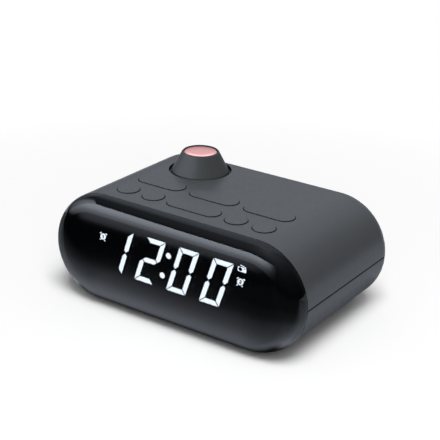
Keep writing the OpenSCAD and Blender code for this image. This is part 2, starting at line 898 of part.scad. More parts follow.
// Cone that the fingers turn. Its neck carries three helical slots for the guide pins
module focus_ring() {
    lip = in_top - run_gap;
    foot = house_top + run_gap;
    bore_step = top_z + 0.4;
    rim = collar_r - 0.4;
    color([0.27, 0.28, 0.295])
        translate(proj)
            difference() {
                rotate_extrude()
                    difference() {
                        polygon([
                            [neck_in_r, neck_low], [neck_r, neck_low], [neck_r, foot], [rim, foot],
                            [rim, lip], [ring_foot_r + 0.2, lip], [ring_foot_r, top_z],
                            [ring_top_r, ring_top - ring_edge], [ring_top_r - ring_edge, ring_top],
                            [bore_top_r, ring_top], [bore_top_r, bore_step], [neck_in_r, bore_step]
                        ]);
                        // hollow behind the skin
                        polygon([
                            [neck_r, foot - 1], [rim - 1.6, foot - 1], [rim - 1.6, lip - ring_skin],
                            [ring_foot_r - ring_skin, lip - ring_skin],
                            [ring_foot_r - ring_skin, top_z],
                            [neck_r, top_z + (ring_h * (ring_foot_r - ring_skin - neck_r))
                                / (ring_foot_r - ring_top_r)]
                        ]);
                    }
                for (i = [0 : 2])
                    rotate([0, 0, 120 * i])
                        translate([0, 0, pin_z])
                            helix_cutter(neck_in_r - 1, neck_r + 1, 2 * (pin_r + pin_play),
                                         2 * focus_turn, focus_pitch);
            }
}

// Slides straight up and down in the guide tube and carries both lenses
module lens_barrel() {
    color([0.05, 0.05, 0.055])
        translate(proj)
            difference() {
                rotate_extrude()
                    polygon([
                        [light_r, barrel_low], [barrel_r, barrel_low], [barrel_r, head_low],
                        [proj_lens_r, head_low], [proj_lens_r, lens_seat], [light_r + 1, lens_seat],
                        [barrel_r - barrel_wall, lens_seat - 2], [barrel_r - barrel_wall, barrel_low + 2],
                        [light_r, barrel_low + 2]
                    ]);
                for (i = [0 : 2])
                    rotate([0, 0, 120 * i])
                        translate([barrel_r - barrel_wall - 1, 0, pin_z])
                            rotate([0, 90, 0]) cylinder(r = pin_r, h = barrel_wall + 2);
            }
}

module guide_pins() {
    color(metal_col)
        translate(proj)
            for (i = [0 : 2])
                rotate([0, 0, 120 * i])
                    translate([barrel_r - barrel_wall, 0, pin_z])
                        rotate([0, 90, 0]) cylinder(r = pin_r, h = neck_r - 0.2 - barrel_r + barrel_wall);
}

// Front element: flat below, domed above
module projector_lens() {
    edge_t = 1.7;
    dome_h = 1.3;
    dome_r = (proj_lens_r * proj_lens_r + dome_h * dome_h) / (2 * dome_h);
    color([0.85, 0.5, 0.5])
        translate(proj)
            intersection() {
                post(proj_lens_r, lens_seat, ring_top + 2);
                translate([0, 0, lens_seat + edge_t + dome_h - dome_r]) sphere(r = dome_r, $fn = 128);
            }
}

module rear_lens() {
    lens_low = barrel_low + 2;
    bulge_r = 22;
    radius = barrel_r - barrel_wall - 0.1;
    color([0.8, 0.85, 0.9])
        translate(proj)
            intersection() {
                post(radius, lens_low, lens_low + 4);
                translate([0, 0, lens_low + 3.2 - bulge_r]) sphere(r = bulge_r, $fn = 128);
            }
}

// Fixed housing: flange with four ears, outer wall, floor and slotted guide tube
module projector_housing() {
    house_low = house_top - house_l;
    color([0.07, 0.07, 0.075])
        translate(proj)
            difference() {
                union() {
                    tube(collar_r + collar_wall, house_in_r, house_top - flange_t, house_top);
                    tube(house_r, house_in_r, house_low, house_top);
                    tube(house_r, light_r, floor_top - floor_t, floor_top);
                    tube(guide_r, guide_in_r, floor_top - eps, head_low - focus_lift - 0.4);
                    for (angle = ear_angles)
                        rotate([0, 0, angle])
                            difference() {
                                union() {
                                    translate([ear_out, 0, 0]) post(ear_r, house_top - flange_t, house_top);
                                    translate([house_r, -ear_r, house_top - flange_t])
                                        cube([ear_out - house_r, 2 * ear_r, flange_t]);
                                }
                                translate([ear_out, 0, 0])
                                    post(small_screw_r + screw_play,
                                         house_top - flange_t - 1, house_top + 1);
                            }
                }
                for (i = [0 : 2])
                    rotate([0, 0, 120 * i])
                        translate([guide_in_r - 1, -pin_r - pin_play, pin_z - focus_lift - pin_r - 1])
                            cube([guide_wall + 2, 2 * (pin_r + pin_play), 40]);
            }
}

// Clear plate with the image of the time, under the floor of the housing
module projector_slide() {
    color([0.6, 0.6, 0.65])
        translate(proj)
            translate([-slide_size[0] / 2, -slide_size[1] / 2, floor_top - floor_t - slide_size[2]])
                cube(slide_size);
}

module projector_lamp() {
    lamp_low = house_top - house_l;
    color([0.8, 0.1, 0.1])
        translate(proj) {
            post(lamp_flange[0], lamp_low, lamp_low + lamp_flange[1]);
            post(lamp_r, lamp_low + lamp_flange[1], lamp_low + 6);
            intersection() {
                translate([0, 0, lamp_low + 6]) sphere(r = lamp_r);
                post(lamp_r + 0.1, lamp_low + 6, lamp_low + 9);
            }
        }
}

module projector_board() {
    color(board_col)
        translate(proj) post(house_r, house_top - house_l - board_t, house_top - house_l);
}

// Flat cable from the lamp's board down to the main board
module projector_ribbon() {
    color([0.75, 0.75, 0.78])
        translate([proj[0] - 5, proj[1] - 8, board_high])
            cube([10, ribbon_t, house_top - house_l - board_t - board_high]);
}

// ---------- speaker ----------

// Pressed basket with four windows
module speaker_basket() {
    low = in_base;
    skin = 1.2;
    window = 52; // degrees
    window_low = low + 2.8;
    window_h = 4;
    color([0.2, 0.2, 0.21])
        translate(speaker)
            difference() {
                rotate_extrude()
                    polygon([
                        [speaker_r - 3.6, low], [speaker_r, low], [speaker_r, low + speaker_lip],
                        [speaker_r - 2.2, low + speaker_lip], [basket_top_r, basket_top - skin],
                        [basket_top_r, basket_top], [8, basket_top], [8, basket_top - skin],
                        [basket_top_r - 1.6, basket_top - skin], [speaker_r - 3.6, low + speaker_lip]
                    ]);
                // four windows in the cone of the basket
                for (i = [0 : 3])
                    rotate([0, 0, 90 * i + (90 - window) / 2])
                        rotate_extrude(angle = window)
                            translate([basket_top_r - 2, window_low])
                                square([speaker_r - basket_top_r + 2, window_h]);
            }
}

// Surround, cone and dust cap in one piece of paper
module speaker_cone() {
    low = in_base;
    deep = speaker_h - 9;
    color([0.12, 0.12, 0.12])
        translate(speaker)
            rotate_extrude()
                polygon([
                    [speaker_r - 3.9, low + 0.3], [speaker_r - 3.9, low + 0.9], [speaker_r - 6, low + 0.9],
                    [6, low + deep], [0, low + deep - 2.4], [0, low + deep - 3], [6, low + deep - 0.8],
                    [speaker_r - 6.2, low + 0.3]
                ]);
}

module speaker_magnet() {
    plate = 1.6;
    color([0.35, 0.35, 0.36]) translate(speaker) {
        post(magnet_r, basket_top, basket_top + plate);
        post(magnet_r - 1, basket_top + plate, in_base + speaker_h);
    }
}

// Flat lead from the speaker's basket to the edge of the main board
module speaker_lead() {
    from = [speaker[1] - basket_top_r + 0.9, basket_top];
    to = [board_step - 3, board_high];
    color([0.75, 0.75, 0.78])
        translate([speaker[0] - 3, 0, 0])
            rotate([90, 0, 90])
                linear_extrude(6)
                    polygon([
                        to, [board_step, board_high], [speaker[1] - basket_top_r, basket_top], from,
                        [from[0], from[1] + ribbon_t], [to[0], to[1] + ribbon_t]
                    ]);
}

// ---------- back-up cell ----------

// Turn-to-lock cap with three lugs and a slot for a coin
module battery_cap() {
    color(casing_col)
        translate(cell)
            difference() {
                union() {
                    post(cap_r, base_z, base_z + cap_t);
                    post(cap_r - 0.6, base_z, lug_low + lug_t);
                    for (i = [0 : 2])
                        rotate([0, 0, 120 * i - lug_span / 2])
                            rotate_extrude(angle = lug_span)
                                translate([cap_r - 1.5, lug_low]) square([lug_out + 1.5, lug_t]);
                }
                post(cap_r - 2.4, base_z + cap_t, lug_low + lug_t + 1);
                translate([-7, -1.1, base_z - 1]) cube([14, 2.2, 1.9]);
            }
}

module coin_cell() {
    color(metal_col)
        translate(cell) {
            post(cell_r, cell_low, cell_low + cell_t - 0.4);
            post(cell_r - 1.4, cell_low + cell_t - 0.4, cell_low + cell_t);
        }
}

// Sprung leaf over the cell and a tab at its rim. Each goes up to the main board
module cell_contacts() {
    cell_top = cell_low + cell_t;
    outer = contact_x + contact_t;
    color([0.8, 0.7, 0.4])
        translate(cell) {
            translate([0, contact_w / 2, 0])
                rotate([90, 0, 0])
                    linear_extrude(contact_w)
                        polygon([
                            [-contact_x, cup_top], [-contact_x, cup_top - contact_t], [0, cell_top],
                            [outer, cup_top - contact_t], [outer, board_low],
                            [contact_x, board_low], [contact_x, cup_top], [0, cell_top + contact_t]
                        ]);
            translate([rim_tab_x, -contact_w / 2, cell_low + 0.5])
                cube([contact_t, contact_w, board_low - cell_low - 0.5]);
        }
}

// ---------- back and feet ----------

// Round power socket with its centre pin
module power_inlet() {
    color([0.06, 0.06, 0.06])
        translate([-inlet_x, inlet_low_y, inlet_z])
            difference() {
                union() {
                    translate([-inlet_body[0] / 2, 0, board_high - inlet_z]) cube(inlet_body);
                    translate([0, inlet_body[1] - 1, 0])
                        rotate([-90, 0, 0]) cylinder(r = inlet_snout_r, h = wall + 1.15);
                }
                translate([0, 3, 0])
                    rotate([-90, 0, 0])
                        rotate_extrude()
                            translate([inlet_pin_r, 0]) square([inlet_r - inlet_pin_r, 40]);
                translate([0, inlet_body[1] + wall - 1.4, 0])
                    rotate([-90, 0, 0]) cylinder(r = 2 * inlet_pin_r, h = 10);
            }
}

module aerial_grommet() {
    color([0.05, 0.05, 0.05])
        translate([aerial_x, in_back, inlet_z])
            rotate([-90, 0, 0])
                rotate_extrude()
                    polygon([
                        [0.9, -1], [aerial_r + 1.2, -1], [aerial_r + 1.2, 0], [aerial_r - 0.05, 0],
                        [aerial_r - 0.05, wall - 0.1], [0.9, wall - 0.1]
                    ]);
}

module rubber_feet() {
    color([0.04, 0.04, 0.04])
        for (x = [-foot_x, foot_x], y = foot_y)
            translate([x, y, 0])
                rotate_extrude()
                    polygon([
                        [0, 0], [foot_r - 0.4, 0], [foot_r, 0.4], [foot_r, base_z + foot_seat],
                        [0, base_z + foot_seat]
                    ]);
}

upper_casing();
lower_casing();
front_lens();
light_box();
lit_segments();
dark_segments();
display_leds();
display_board();
display_ribbon();
alarm_1_button();
alarm_2_button();
snooze_button();
hour_button();
minute_button();
projector_button();
radio_button();
memory_button();
alarm_1_plunger();
alarm_2_plunger();
snooze_plunger();
hour_plunger();
minute_plunger();
projector_plunger();
radio_plunger();
memory_plunger();
key_board();
key_switches();
key_ribbon();
main_board();
board_components();
focus_ring();
lens_barrel();
guide_pins();
projector_lens();
rear_lens();
projector_housing();
projector_slide();
projector_lamp();
projector_board();
projector_ribbon();
speaker_basket();
speaker_cone();
speaker_magnet();
speaker_lead();
battery_cap();
coin_cell();
cell_contacts();
power_inlet();
aerial_grommet();
rubber_feet();
casing_screws();
small_screws();
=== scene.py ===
"""Looks of the projection alarm clock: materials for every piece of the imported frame,
the small signs on the display, and a plain studio. Lengths are in metres, in the frame
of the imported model: X to the right, -Y the front, +Z up."""

import json
import math

import bmesh
import bpy
from mathutils import Matrix, Vector


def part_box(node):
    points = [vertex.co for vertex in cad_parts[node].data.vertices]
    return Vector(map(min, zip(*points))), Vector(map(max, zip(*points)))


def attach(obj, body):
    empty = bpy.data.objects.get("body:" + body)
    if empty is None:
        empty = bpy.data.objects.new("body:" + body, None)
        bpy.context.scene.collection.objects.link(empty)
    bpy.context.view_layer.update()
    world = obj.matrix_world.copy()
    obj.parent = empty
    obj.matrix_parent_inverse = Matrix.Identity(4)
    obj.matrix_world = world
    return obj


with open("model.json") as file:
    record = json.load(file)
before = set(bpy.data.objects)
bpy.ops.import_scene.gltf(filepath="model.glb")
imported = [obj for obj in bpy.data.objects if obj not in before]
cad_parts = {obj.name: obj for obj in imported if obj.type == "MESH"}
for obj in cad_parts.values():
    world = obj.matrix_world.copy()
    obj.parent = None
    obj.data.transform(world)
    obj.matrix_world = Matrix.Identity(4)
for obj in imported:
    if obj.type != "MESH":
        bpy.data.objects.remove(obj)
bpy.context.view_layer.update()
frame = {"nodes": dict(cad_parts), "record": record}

MM = 0.001
NODES = frame["nodes"]
SLOT_OF = {part["node"]: part["material_slot"] for part in frame["record"]["subparts"]}


# ---------- camera ----------

AZIMUTH, ELEVATION, ROLL = 33.976, 22.759, 1.644  # degrees
FOCAL, SENSOR = 95.05, 36.0
TARGET = Vector((0.37, -0.55, 48.1)) * MM
DISTANCE = 644.2 * MM
SHIFT = (0.0038, 0.0025)


def make_camera():
    """The photograph's viewing angle, with its small roll."""
    azimuth, elevation, roll = (math.radians(a) for a in (AZIMUTH, ELEVATION, ROLL))
    back = Vector((
        math.sin(azimuth) * math.cos(elevation),
        -math.cos(azimuth) * math.cos(elevation),
        math.sin(elevation),
    ))
    right = Vector((math.cos(azimuth), math.sin(azimuth), 0))
    up = back.cross(right)
    rolled_right = math.cos(roll) * right + math.sin(roll) * up
    rolled_up = math.cos(roll) * up - math.sin(roll) * right
    data = bpy.data.cameras.new("camera")
    data.lens = FOCAL
    data.sensor_width = SENSOR
    data.sensor_fit = "HORIZONTAL"
    data.shift_x, data.shift_y = SHIFT
    camera = bpy.data.objects.new("camera", data)
    turn = Matrix((rolled_right, rolled_up, back)).transposed()
    camera.matrix_world = Matrix.Translation(TARGET + back * DISTANCE) @ turn.to_4x4()
    bpy.context.scene.collection.objects.link(camera)
    bpy.context.scene.camera = camera


# ---------- node helpers ----------


def new_material(name):
    """A new material with its node tree and its Principled shader."""
    material = bpy.data.materials.new(name)
    material.use_nodes = True
    tree = material.node_tree
    shader = tree.nodes["Principled BSDF"]
    return material, tree, shader


def add(tree, kind, **inputs):
    """Adds a node; keywords with an input's name in lower case set that input."""
    node = tree.nodes.new(kind)
    for key, value in inputs.items():
        for socket in node.inputs:
            if socket.name.lower().replace(" ", "_") == key and socket.enabled:
                socket.default_value = value
                break
        else:
            setattr(node, key, value)
    return node


def calc(tree, operation, *values):
    """A Math node; each value is a number or another node's output."""
    node = add(tree, "ShaderNodeMath", operation=operation)
    for place, value in zip(node.inputs, values):
        if isinstance(value, bpy.types.NodeSocket):
            tree.links.new(value, place)
        else:
            place.default_value = value
    return node.outputs[0]


def axes_of(tree, vector):
    """The X, Y and Z parts of a vector."""
    split = add(tree, "ShaderNodeSeparateXYZ")
    tree.links.new(vector, split.inputs[0])
    return split.outputs["X"], split.outputs["Y"], split.outputs["Z"]


def object_coordinates(tree):
    return add(tree, "ShaderNodeTexCoord").outputs["Object"]


def noise(tree, scale, detail=2.0, roughness=0.5):
    """Noise over the object's own coordinates; scale is features per metre."""
    node = add(tree, "ShaderNodeTexNoise", scale=scale, detail=detail, roughness=roughness)
    tree.links.new(object_coordinates(tree), node.inputs["Vector"])
    return node.outputs["Fac"]


def ramp(tree, source, low, high, from_min=0.0, from_max=1.0):
    """Maps a value from one range to another."""
    node = add(tree, "ShaderNodeMapRange")
    node.inputs["From Min"].default_value = from_min
    node.inputs["From Max"].default_value = from_max
    node.inputs["To Min"].default_value = low
    node.inputs["To Max"].default_value = high
    tree.links.new(source, node.inputs["Value"])
    return node.outputs["Result"]


def blend_colours(tree, factor, first, second):
    """Colour between two colours by a factor that varies over the surface."""
    node = tree.nodes.new("ShaderNodeMix")
    node.data_type = "RGBA"
    node.inputs["A"].default_value = (*first, 1)
    node.inputs["B"].default_value = (*second, 1)
    tree.links.new(factor, node.inputs["Factor"])
    return next(s for s in node.outputs if s.type == "RGBA")


def scaled(tree, colour, factor):
    """The colour, darker by a factor that varies over the surface."""
    node = add(tree, "ShaderNodeVectorMath", operation="SCALE")
    tree.links.new(colour, node.inputs[0])
    tree.links.new(factor, node.inputs["Scale"])
    return node.outputs[0]


def length(tree, first, second):
    """Distance from the two distances along two axes."""
    squares = [calc(tree, "MULTIPLY", way, way) for way in (first, second)]
    return calc(tree, "SQRT", calc(tree, "ADD", *squares))


def bump(tree, shader, height, strength, distance):
    """Relief on a shader's normal; distance is its depth in metres."""
    node = add(tree, "ShaderNodeBump", strength=strength, distance=distance)
    tree.links.new(height, node.inputs["Height"])
    tree.links.new(node.outputs["Normal"], shader.inputs["Normal"])


def grey(level, tint=(1.0, 1.0, 1.0)):
    """A grey of that level, times a tint."""
    return tuple(level * t for t in tint)


# ---------- materials, one function for each slot ----------

COOL = (0.94, 1.0, 1.07)  # the slightly blue grey of the casing
# painted shade on the parting line and on the walls of the key openings: colour and gloss are
# darkened there
PARTING_HALF = 0.7 * MM  # half the height of the painted shade along the parting line
PAINTED_PARTING_SHADE = 0.12
WALL_DEPTH = 4 * MM  # depth of the painted shade in the key openings, from the top
PAINTED_WALL_SHADE = 0.1
UPRIGHT_BELOW = 0.5  # a wall is upright where its normal rises or falls by less
CLOUD_SCALE, CLOUD_SPREAD = 90, 0.05  # soft patches of a little more and less colour
WORN_SCALE, WORN_SPREAD = 420, 0.04  # small patches of a little more and less gloss
GRAIN_STRENGTH = 0.35


def painted_wall_shade(tree, above_z):
    """Painted shade on upright walls above a height, and 1 elsewhere."""
    rise = axes_of(tree, add(tree, "ShaderNodeNewGeometry").outputs["True Normal"])[2]
    upright = calc(tree, "LESS_THAN", calc(tree, "ABSOLUTE", rise), UPRIGHT_BELOW)
    high = calc(tree, "GREATER_THAN", axes_of(tree, object_coordinates(tree))[2], above_z)
    return ramp(tree, calc(tree, "MULTIPLY", upright, high), 1, PAINTED_WALL_SHADE)


def painted_parting_shade(tree, parting_z):
    """Painted shade in the groove along the shells' parting line, and 1 elsewhere."""
    z = axes_of(tree, object_coordinates(tree))[2]
    off = calc(tree, "ABSOLUTE", calc(tree, "SUBTRACT", z, parting_z))
    return ramp(tree, off, PAINTED_PARTING_SHADE, 1, PARTING_HALF / 2, PARTING_HALF)


def moulded(
    name, level, tint, roughness, grain, depth, specular=0.4, parting_z=None, wall_z=None
):
    """Spark-eroded moulding: slightly cloudy colour and gloss, and a fine even grain of so
    many features per metre. It has painted shade, a darker colour and less gloss, along the
    line parting_z and on upright walls above wall_z, where these are given."""
    material, tree, shader = new_material(name)
    cloud = noise(tree, CLOUD_SCALE, 3)
    dark, light = (grey(level * (1 + way * CLOUD_SPREAD), tint) for way in (-1, 1))
    colour = blend_colours(tree, cloud, dark, light)
    painted_shades = []
    if parting_z is not None:
        painted_shades.append(painted_parting_shade(tree, parting_z))
    if wall_z is not None:
        painted_shades.append(painted_wall_shade(tree, wall_z))
    # painted shade: the colour darkens on the parting line and on the upright walls
    for shade in painted_shades:
        colour = scaled(tree, colour, shade)
    tree.links.new(colour, shader.inputs["Base Color"])
    worn = noise(tree, WORN_SCALE)
    gloss = ramp(tree, worn, roughness - WORN_SPREAD, roughness + WORN_SPREAD, 0.3, 0.7)
    tree.links.new(gloss, shader.inputs["Roughness"])
    shader.inputs["Specular IOR Level"].default_value = specular
    # the same painted shade also lowers the gloss there
    if painted_shades:
        gleam = specular
        for shade in painted_shades:
            gleam = calc(tree, "MULTIPLY", gleam, shade)
        tree.links.new(gleam, shader.inputs["Specular IOR Level"])
    bump(tree, shader, noise(tree, grain, roughness=0.6), GRAIN_STRENGTH, depth)
    return material


def casing():
    """The shells' plastic, with painted shade in the parting line and on the walls of the
    openings.
    """
    lens_low, lens_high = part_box("front_lens")
    parting_z = (lens_low.z + lens_high.z) / 2
    wall_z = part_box("upper_casing")[1].z - WALL_DEPTH
    return moulded(
        "casing", level=0.062, tint=COOL, roughness=0.34, grain=2600, depth=0.04 * MM,
        specular=0.5, parting_z=parting_z, wall_z=wall_z,
    )


def key_cap():
    """The same plastic, with painted shade on all the upright sides of the keys."""
    return moulded(
        "key_cap", level=0.063, tint=COOL, roughness=0.34, grain=2600, depth=0.04 * MM,
        specular=0.5, wall_z=0.0,
    )


def focus_ring():
    return moulded(
        "focus_ring", level=0.052, tint=(0.93, 1.0, 1.03), roughness=0.4, grain=3400,
        depth=0.02 * MM, specular=0.25,
    )


def black_plastic():
    return moulded(
        "black_plastic", level=0.012, tint=(1, 1, 1.05), roughness=0.5, grain=2200,
        depth=0.03 * MM,
    )


POLE_R = 2.6 * MM  # round each pole of the lens, where its faces count as flat


def pole_normals(tree):
    """The mesh's own normals, and flat ones at the poles of the lens's two round ends,
    where so many narrow faces meet that the smooth ones stray."""
    low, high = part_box("front_lens")
    half_h = (high.z - low.z) / 2
    x, _, z = axes_of(tree, object_coordinates(tree))
    aside = calc(tree, "SUBTRACT", calc(tree, "ABSOLUTE", x), high.x - half_h)
    away = length(tree, aside, calc(tree, "SUBTRACT", z, low.z + half_h))
    geometry = add(tree, "ShaderNodeNewGeometry")
    node = tree.nodes.new("ShaderNodeMix")
    node.data_type = "VECTOR"
    tree.links.new(ramp(tree, away, 0, 1, POLE_R, 1.5 * POLE_R), node.inputs["Factor"])
    tree.links.new(geometry.outputs["True Normal"], node.inputs["A"])
    tree.links.new(geometry.outputs["Normal"], node.inputs["B"])
    return next(s for s in node.outputs if s.type == "VECTOR")


def smoked_lens():
    """Polished smoked acrylic: nearly black, and the lit strokes show through it."""
    material, tree, shader = new_material("smoked_lens")
    haze = noise(tree, 60, 2)
    colour = blend_colours(tree, haze, (0.0012, 0.0015, 0.002), (0.002, 0.0024, 0.003))
    tree.links.new(colour, shader.inputs["Base Color"])
    shader.inputs["Roughness"].default_value = 0.06
    shader.inputs["Alpha"].default_value = 0.88
    shader.inputs["Specular IOR Level"].default_value = 0.5
    tree.links.new(pole_normals(tree), shader.inputs["Normal"])
    return material


def lit_diffuser():
    """Milky diffuser, lit from behind, with faint patches."""
    material, tree, shader = new_material("lit_diffuser")
    cloud = noise(tree, 260, 2)
    colour = blend_colours(tree, cloud, (0.74, 0.83, 0.95), (0.86, 0.93, 1.0))
    tree.links.new(colour, shader.inputs["Base Color"])
    tree.links.new(colour, shader.inputs["Emission Color"])
    shader.inputs["Emission Strength"].default_value = 76.0
    shader.inputs["Roughness"].default_value = 0.5
    return material


def dark_diffuser():
    """The unlit strokes."""
    return moulded(
        "dark_diffuser", level=0.008, tint=(1, 1, 1.1), roughness=0.6, grain=2000,
        depth=0.02 * MM,
    )


def led_chip():
    """Yellow phosphor with small spots."""
    material, tree, shader = new_material("led_chip")
    spots = noise(tree, 1500, 1)
    colour = blend_colours(tree, spots, (0.75, 0.66, 0.3), (0.9, 0.86, 0.6))
    tree.links.new(colour, shader.inputs["Base Color"])
    shader.inputs["Roughness"].default_value = 0.3
    return material


def circuit_board():
    """Green solder mask over copper tracks that show as faint lighter stripes."""
    material, tree, shader = new_material("circuit_board")
    wave = add(tree, "ShaderNodeTexWave", scale=160, distortion=9, detail=1)
    wave.bands_direction = "DIAGONAL"
    tree.links.new(object_coordinates(tree), wave.inputs["Vector"])
    tracks = ramp(tree, wave.outputs["Fac"], 0, 1, 0.45, 0.55)
    colour = blend_colours(tree, tracks, (0.012, 0.075, 0.03), (0.03, 0.14, 0.055))
    tree.links.new(colour, shader.inputs["Base Color"])
    shader.inputs["Roughness"].default_value = 0.32
    bump(tree, shader, tracks, 0.4, 0.03 * MM)
    return material


def flat_cable():
    """Ribbon of parallel conductors."""
    material, tree, shader = new_material("flat_cable")
    wave = add(tree, "ShaderNodeTexWave", scale=250, distortion=0, detail=0)
    wave.bands_direction = "X"
    tree.links.new(object_coordinates(tree), wave.inputs["Vector"])
    colour = blend_colours(tree, wave.outputs["Fac"], (0.42, 0.42, 0.44), (0.7, 0.7, 0.72))
    tree.links.new(colour, shader.inputs["Base Color"])
    shader.inputs["Roughness"].default_value = 0.35
    bump(tree, shader, wave.outputs["Fac"], 0.5, 0.1 * MM)
    return material


def metal(name, first, second, roughness):
    """Metal between two colours, duller and brighter in patches, with faint scratches."""
    material, tree, shader = new_material(name)
    stain = noise(tree, 300, 3)
    colour = blend_colours(tree, stain, first, second)
    tree.links.new(colour, shader.inputs["Base Color"])
    shader.inputs["Metallic"].default_value = 1.0
    gloss = ramp(tree, stain, roughness - 0.08, roughness + 0.1)
    tree.links.new(gloss, shader.inputs["Roughness"])
    bump(tree, shader, noise(tree, 1800), 0.15, 0.03 * MM)
    return material


def steel():
    return metal("steel", (0.5, 0.5, 0.52), (0.66, 0.66, 0.67), roughness=0.3)


def spring_brass():
    return metal("spring_brass", (0.62, 0.46, 0.2), (0.74, 0.58, 0.28), roughness=0.28)


def painted_steel():
    return moulded(
        "painted_steel", level=0.02, tint=(1, 1, 1.02), roughness=0.34, grain=900,
        depth=0.03 * MM, specular=0.5,
    )


def magnet():
    return moulded(
        "magnet", level=0.055, tint=(1, 1, 1.04), roughness=0.62, grain=1200,
        depth=0.06 * MM,
    )


# the glow of the projector's lens from the red lamp, with painted light on it; places are
# shares of its radius
GLOW_FORWARD = (0.56, -0.83)  # the side where its glow is painted brightest
GLOW_FROM_TO, GLOW_DULL, GLOW_FULL = (-0.8, 0.6), 0.14, 0.42
PAINTED_HIGHLIGHT_RISES, PAINTED_HIGHLIGHT_FALLS = (0.66, 0.8), (0.88, 0.96)  # of the painted highlight, a band, outwards
PAINTED_HIGHLIGHT_FORWARD, PAINTED_HIGHLIGHT_LEVEL = (0.1, 0.7), 0.3
# painted shade round the rim, where the lens meets the ring
RIM_FROM_TO, PAINTED_RIM_SHADE = (0.93, 0.98), 0.12


def projector_lens():
    """Clear dome over the red lamp: its pink glow painted dull at the back, a painted
    highlight in a band inside the front of its rim, and painted shade round the rim."""
    material, tree, shader = new_material("projector_lens")
    low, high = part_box("projector_lens")
    middle, radius = (low + high) / 2, (high.x - low.x) / 2
    x, y, _ = axes_of(tree, object_coordinates(tree))
    x = calc(tree, "DIVIDE", calc(tree, "SUBTRACT", x, middle.x), radius)
    y = calc(tree, "DIVIDE", calc(tree, "SUBTRACT", y, middle.y), radius)
    shares = [calc(tree, "MULTIPLY", *pair) for pair in zip((x, y), GLOW_FORWARD)]
    forward = calc(tree, "ADD", *shares)
    reach = length(tree, x, y)
    # painted highlight: a bright band inside the front of the rim
    band = calc(
        tree, "MULTIPLY",
        ramp(tree, reach, 0, 1, *PAINTED_HIGHLIGHT_RISES), ramp(tree, reach, 1, 0, *PAINTED_HIGHLIGHT_FALLS),
    )
    band = calc(tree, "MULTIPLY", band, ramp(tree, forward, 0, 1, *PAINTED_HIGHLIGHT_FORWARD))
    cloud = noise(tree, 120, 1)
    colour = blend_colours(tree, cloud, (0.34, 0.18, 0.18), (0.39, 0.21, 0.21))
    # painted shade round the rim
    rim = ramp(tree, reach, 1, PAINTED_RIM_SHADE, *RIM_FROM_TO)
    tree.links.new(scaled(tree, colour, rim), shader.inputs["Base Color"])
    glow = blend_colours(tree, band, (1.0, 0.4, 0.4), (1.0, 0.66, 0.64))
    tree.links.new(glow, shader.inputs["Emission Color"])
    # the lamp's glow, painted brighter to the front, plus the painted highlight
    level = calc(
        tree, "ADD", ramp(tree, forward, GLOW_DULL, GLOW_FULL, *GLOW_FROM_TO),
        calc(tree, "MULTIPLY", band, PAINTED_HIGHLIGHT_LEVEL),
    )
    tree.links.new(calc(tree, "MULTIPLY", level, rim), shader.inputs["Emission Strength"])
    shader.inputs["Roughness"].default_value = 0.08
    shader.inputs["Specular IOR Level"].default_value = 0.5
    return material


def clear_optics():
    """Clear plastic of the inner lens and the projected slide."""
    material, tree, shader = new_material("clear_optics")
    haze = noise(tree, 150, 1)
    colour = blend_colours(tree, haze, (0.78, 0.82, 0.85), (0.86, 0.89, 0.91))
    tree.links.new(colour, shader.inputs["Base Color"])
    shader.inputs["Roughness"].default_value = 0.05
    shader.inputs["Alpha"].default_value = 0.35
    return material


def red_lamp():
    """Red lamp, lit."""
    material, tree, shader = new_material("red_lamp")
    haze = noise(tree, 400, 1)
    colour = blend_colours(tree, haze, (0.6, 0.015, 0.01), (0.75, 0.03, 0.02))
    tree.links.new(colour, shader.inputs["Base Color"])
    tree.links.new(colour, shader.inputs["Emission Color"])
    shader.inputs["Emission Strength"].default_value = 2.0
    shader.inputs["Roughness"].default_value = 0.2
    return material


def paper_cone():
    """Pressed black paper with short fibres."""
    material, tree, shader = new_material("paper_cone")
    fibre = noise(tree, 2200, 4, 0.7)
    colour = blend_colours(tree, fibre, (0.012, 0.012, 0.012), (0.035, 0.034, 0.033))
    tree.links.new(colour, shader.inputs["Base Color"])
    shader.inputs["Roughness"].default_value = 0.85
    bump(tree, shader, fibre, 0.5, 0.08 * MM)
    return material


def rubber():
    return moulded(
        "rubber", level=0.016, tint=(1, 1, 1), roughness=0.72, grain=1500, depth=0.05 * MM,
        specular=0.3,
    )


MATERIALS = {
    maker.__name__: maker()
    for maker in (
        casing, key_cap, focus_ring, smoked_lens, black_plastic, lit_diffuser, dark_diffuser,
        led_chip, circuit_board, flat_cable, steel, painted_steel, projector_lens,
        clear_optics, red_lamp, paper_cone, magnet, spring_brass, rubber,
    )
}


def dress(piece, slot):
    """Gives a piece its slot's material."""
    piece.data.materials.clear()
    piece.data.materials.append(MATERIALS[slot])


def dress_nodes():
    for name, node in NODES.items():
        dress(node, SLOT_OF[name])


# ---------- signs on the display ----------

DISPLAY_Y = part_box("light_box")[0].y
# sizes and places of the signs are in mm, and heights are above the casing's foot
CASING_H = 62.0
FOOT_TO_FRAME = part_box("upper_casing")[1].z / MM - CASING_H
SIGN_T = 0.1
# outlines of the numbers, one unit high, round their middle
ONE = [
    (-0.15, -0.5), (0.19, -0.5), (0.19, 0.5), (-0.03, 0.5), (-0.3, 0.32), (-0.3, 0.1),
    (-0.15, 0.2),
]
TWO = [
    (-0.38, -0.5), (0.38, -0.5), (0.38, -0.22), (0.08, -0.22), (0.32, 0.04), (0.38, 0.22),
    (0.3, 0.4), (0.12, 0.5), (-0.14, 0.5), (-0.3, 0.4), (-0.38, 0.16), (-0.08, 0.16),
    (-0.04, 0.22), (0.05, 0.22), (0.08, 0.16), (0.02, 0.06), (-0.38, -0.28),
]
ALARM_1_AT, ALARM_2_AT = (-44.15, 41.4), (45.85, 40.5)
ALARM_R = 1.9  # of an alarm sign's dial
NUMBER_H = 1.15 * ALARM_R
SIGN_LEAN = math.tan(math.radians(10))  # to the right, as the digits lean


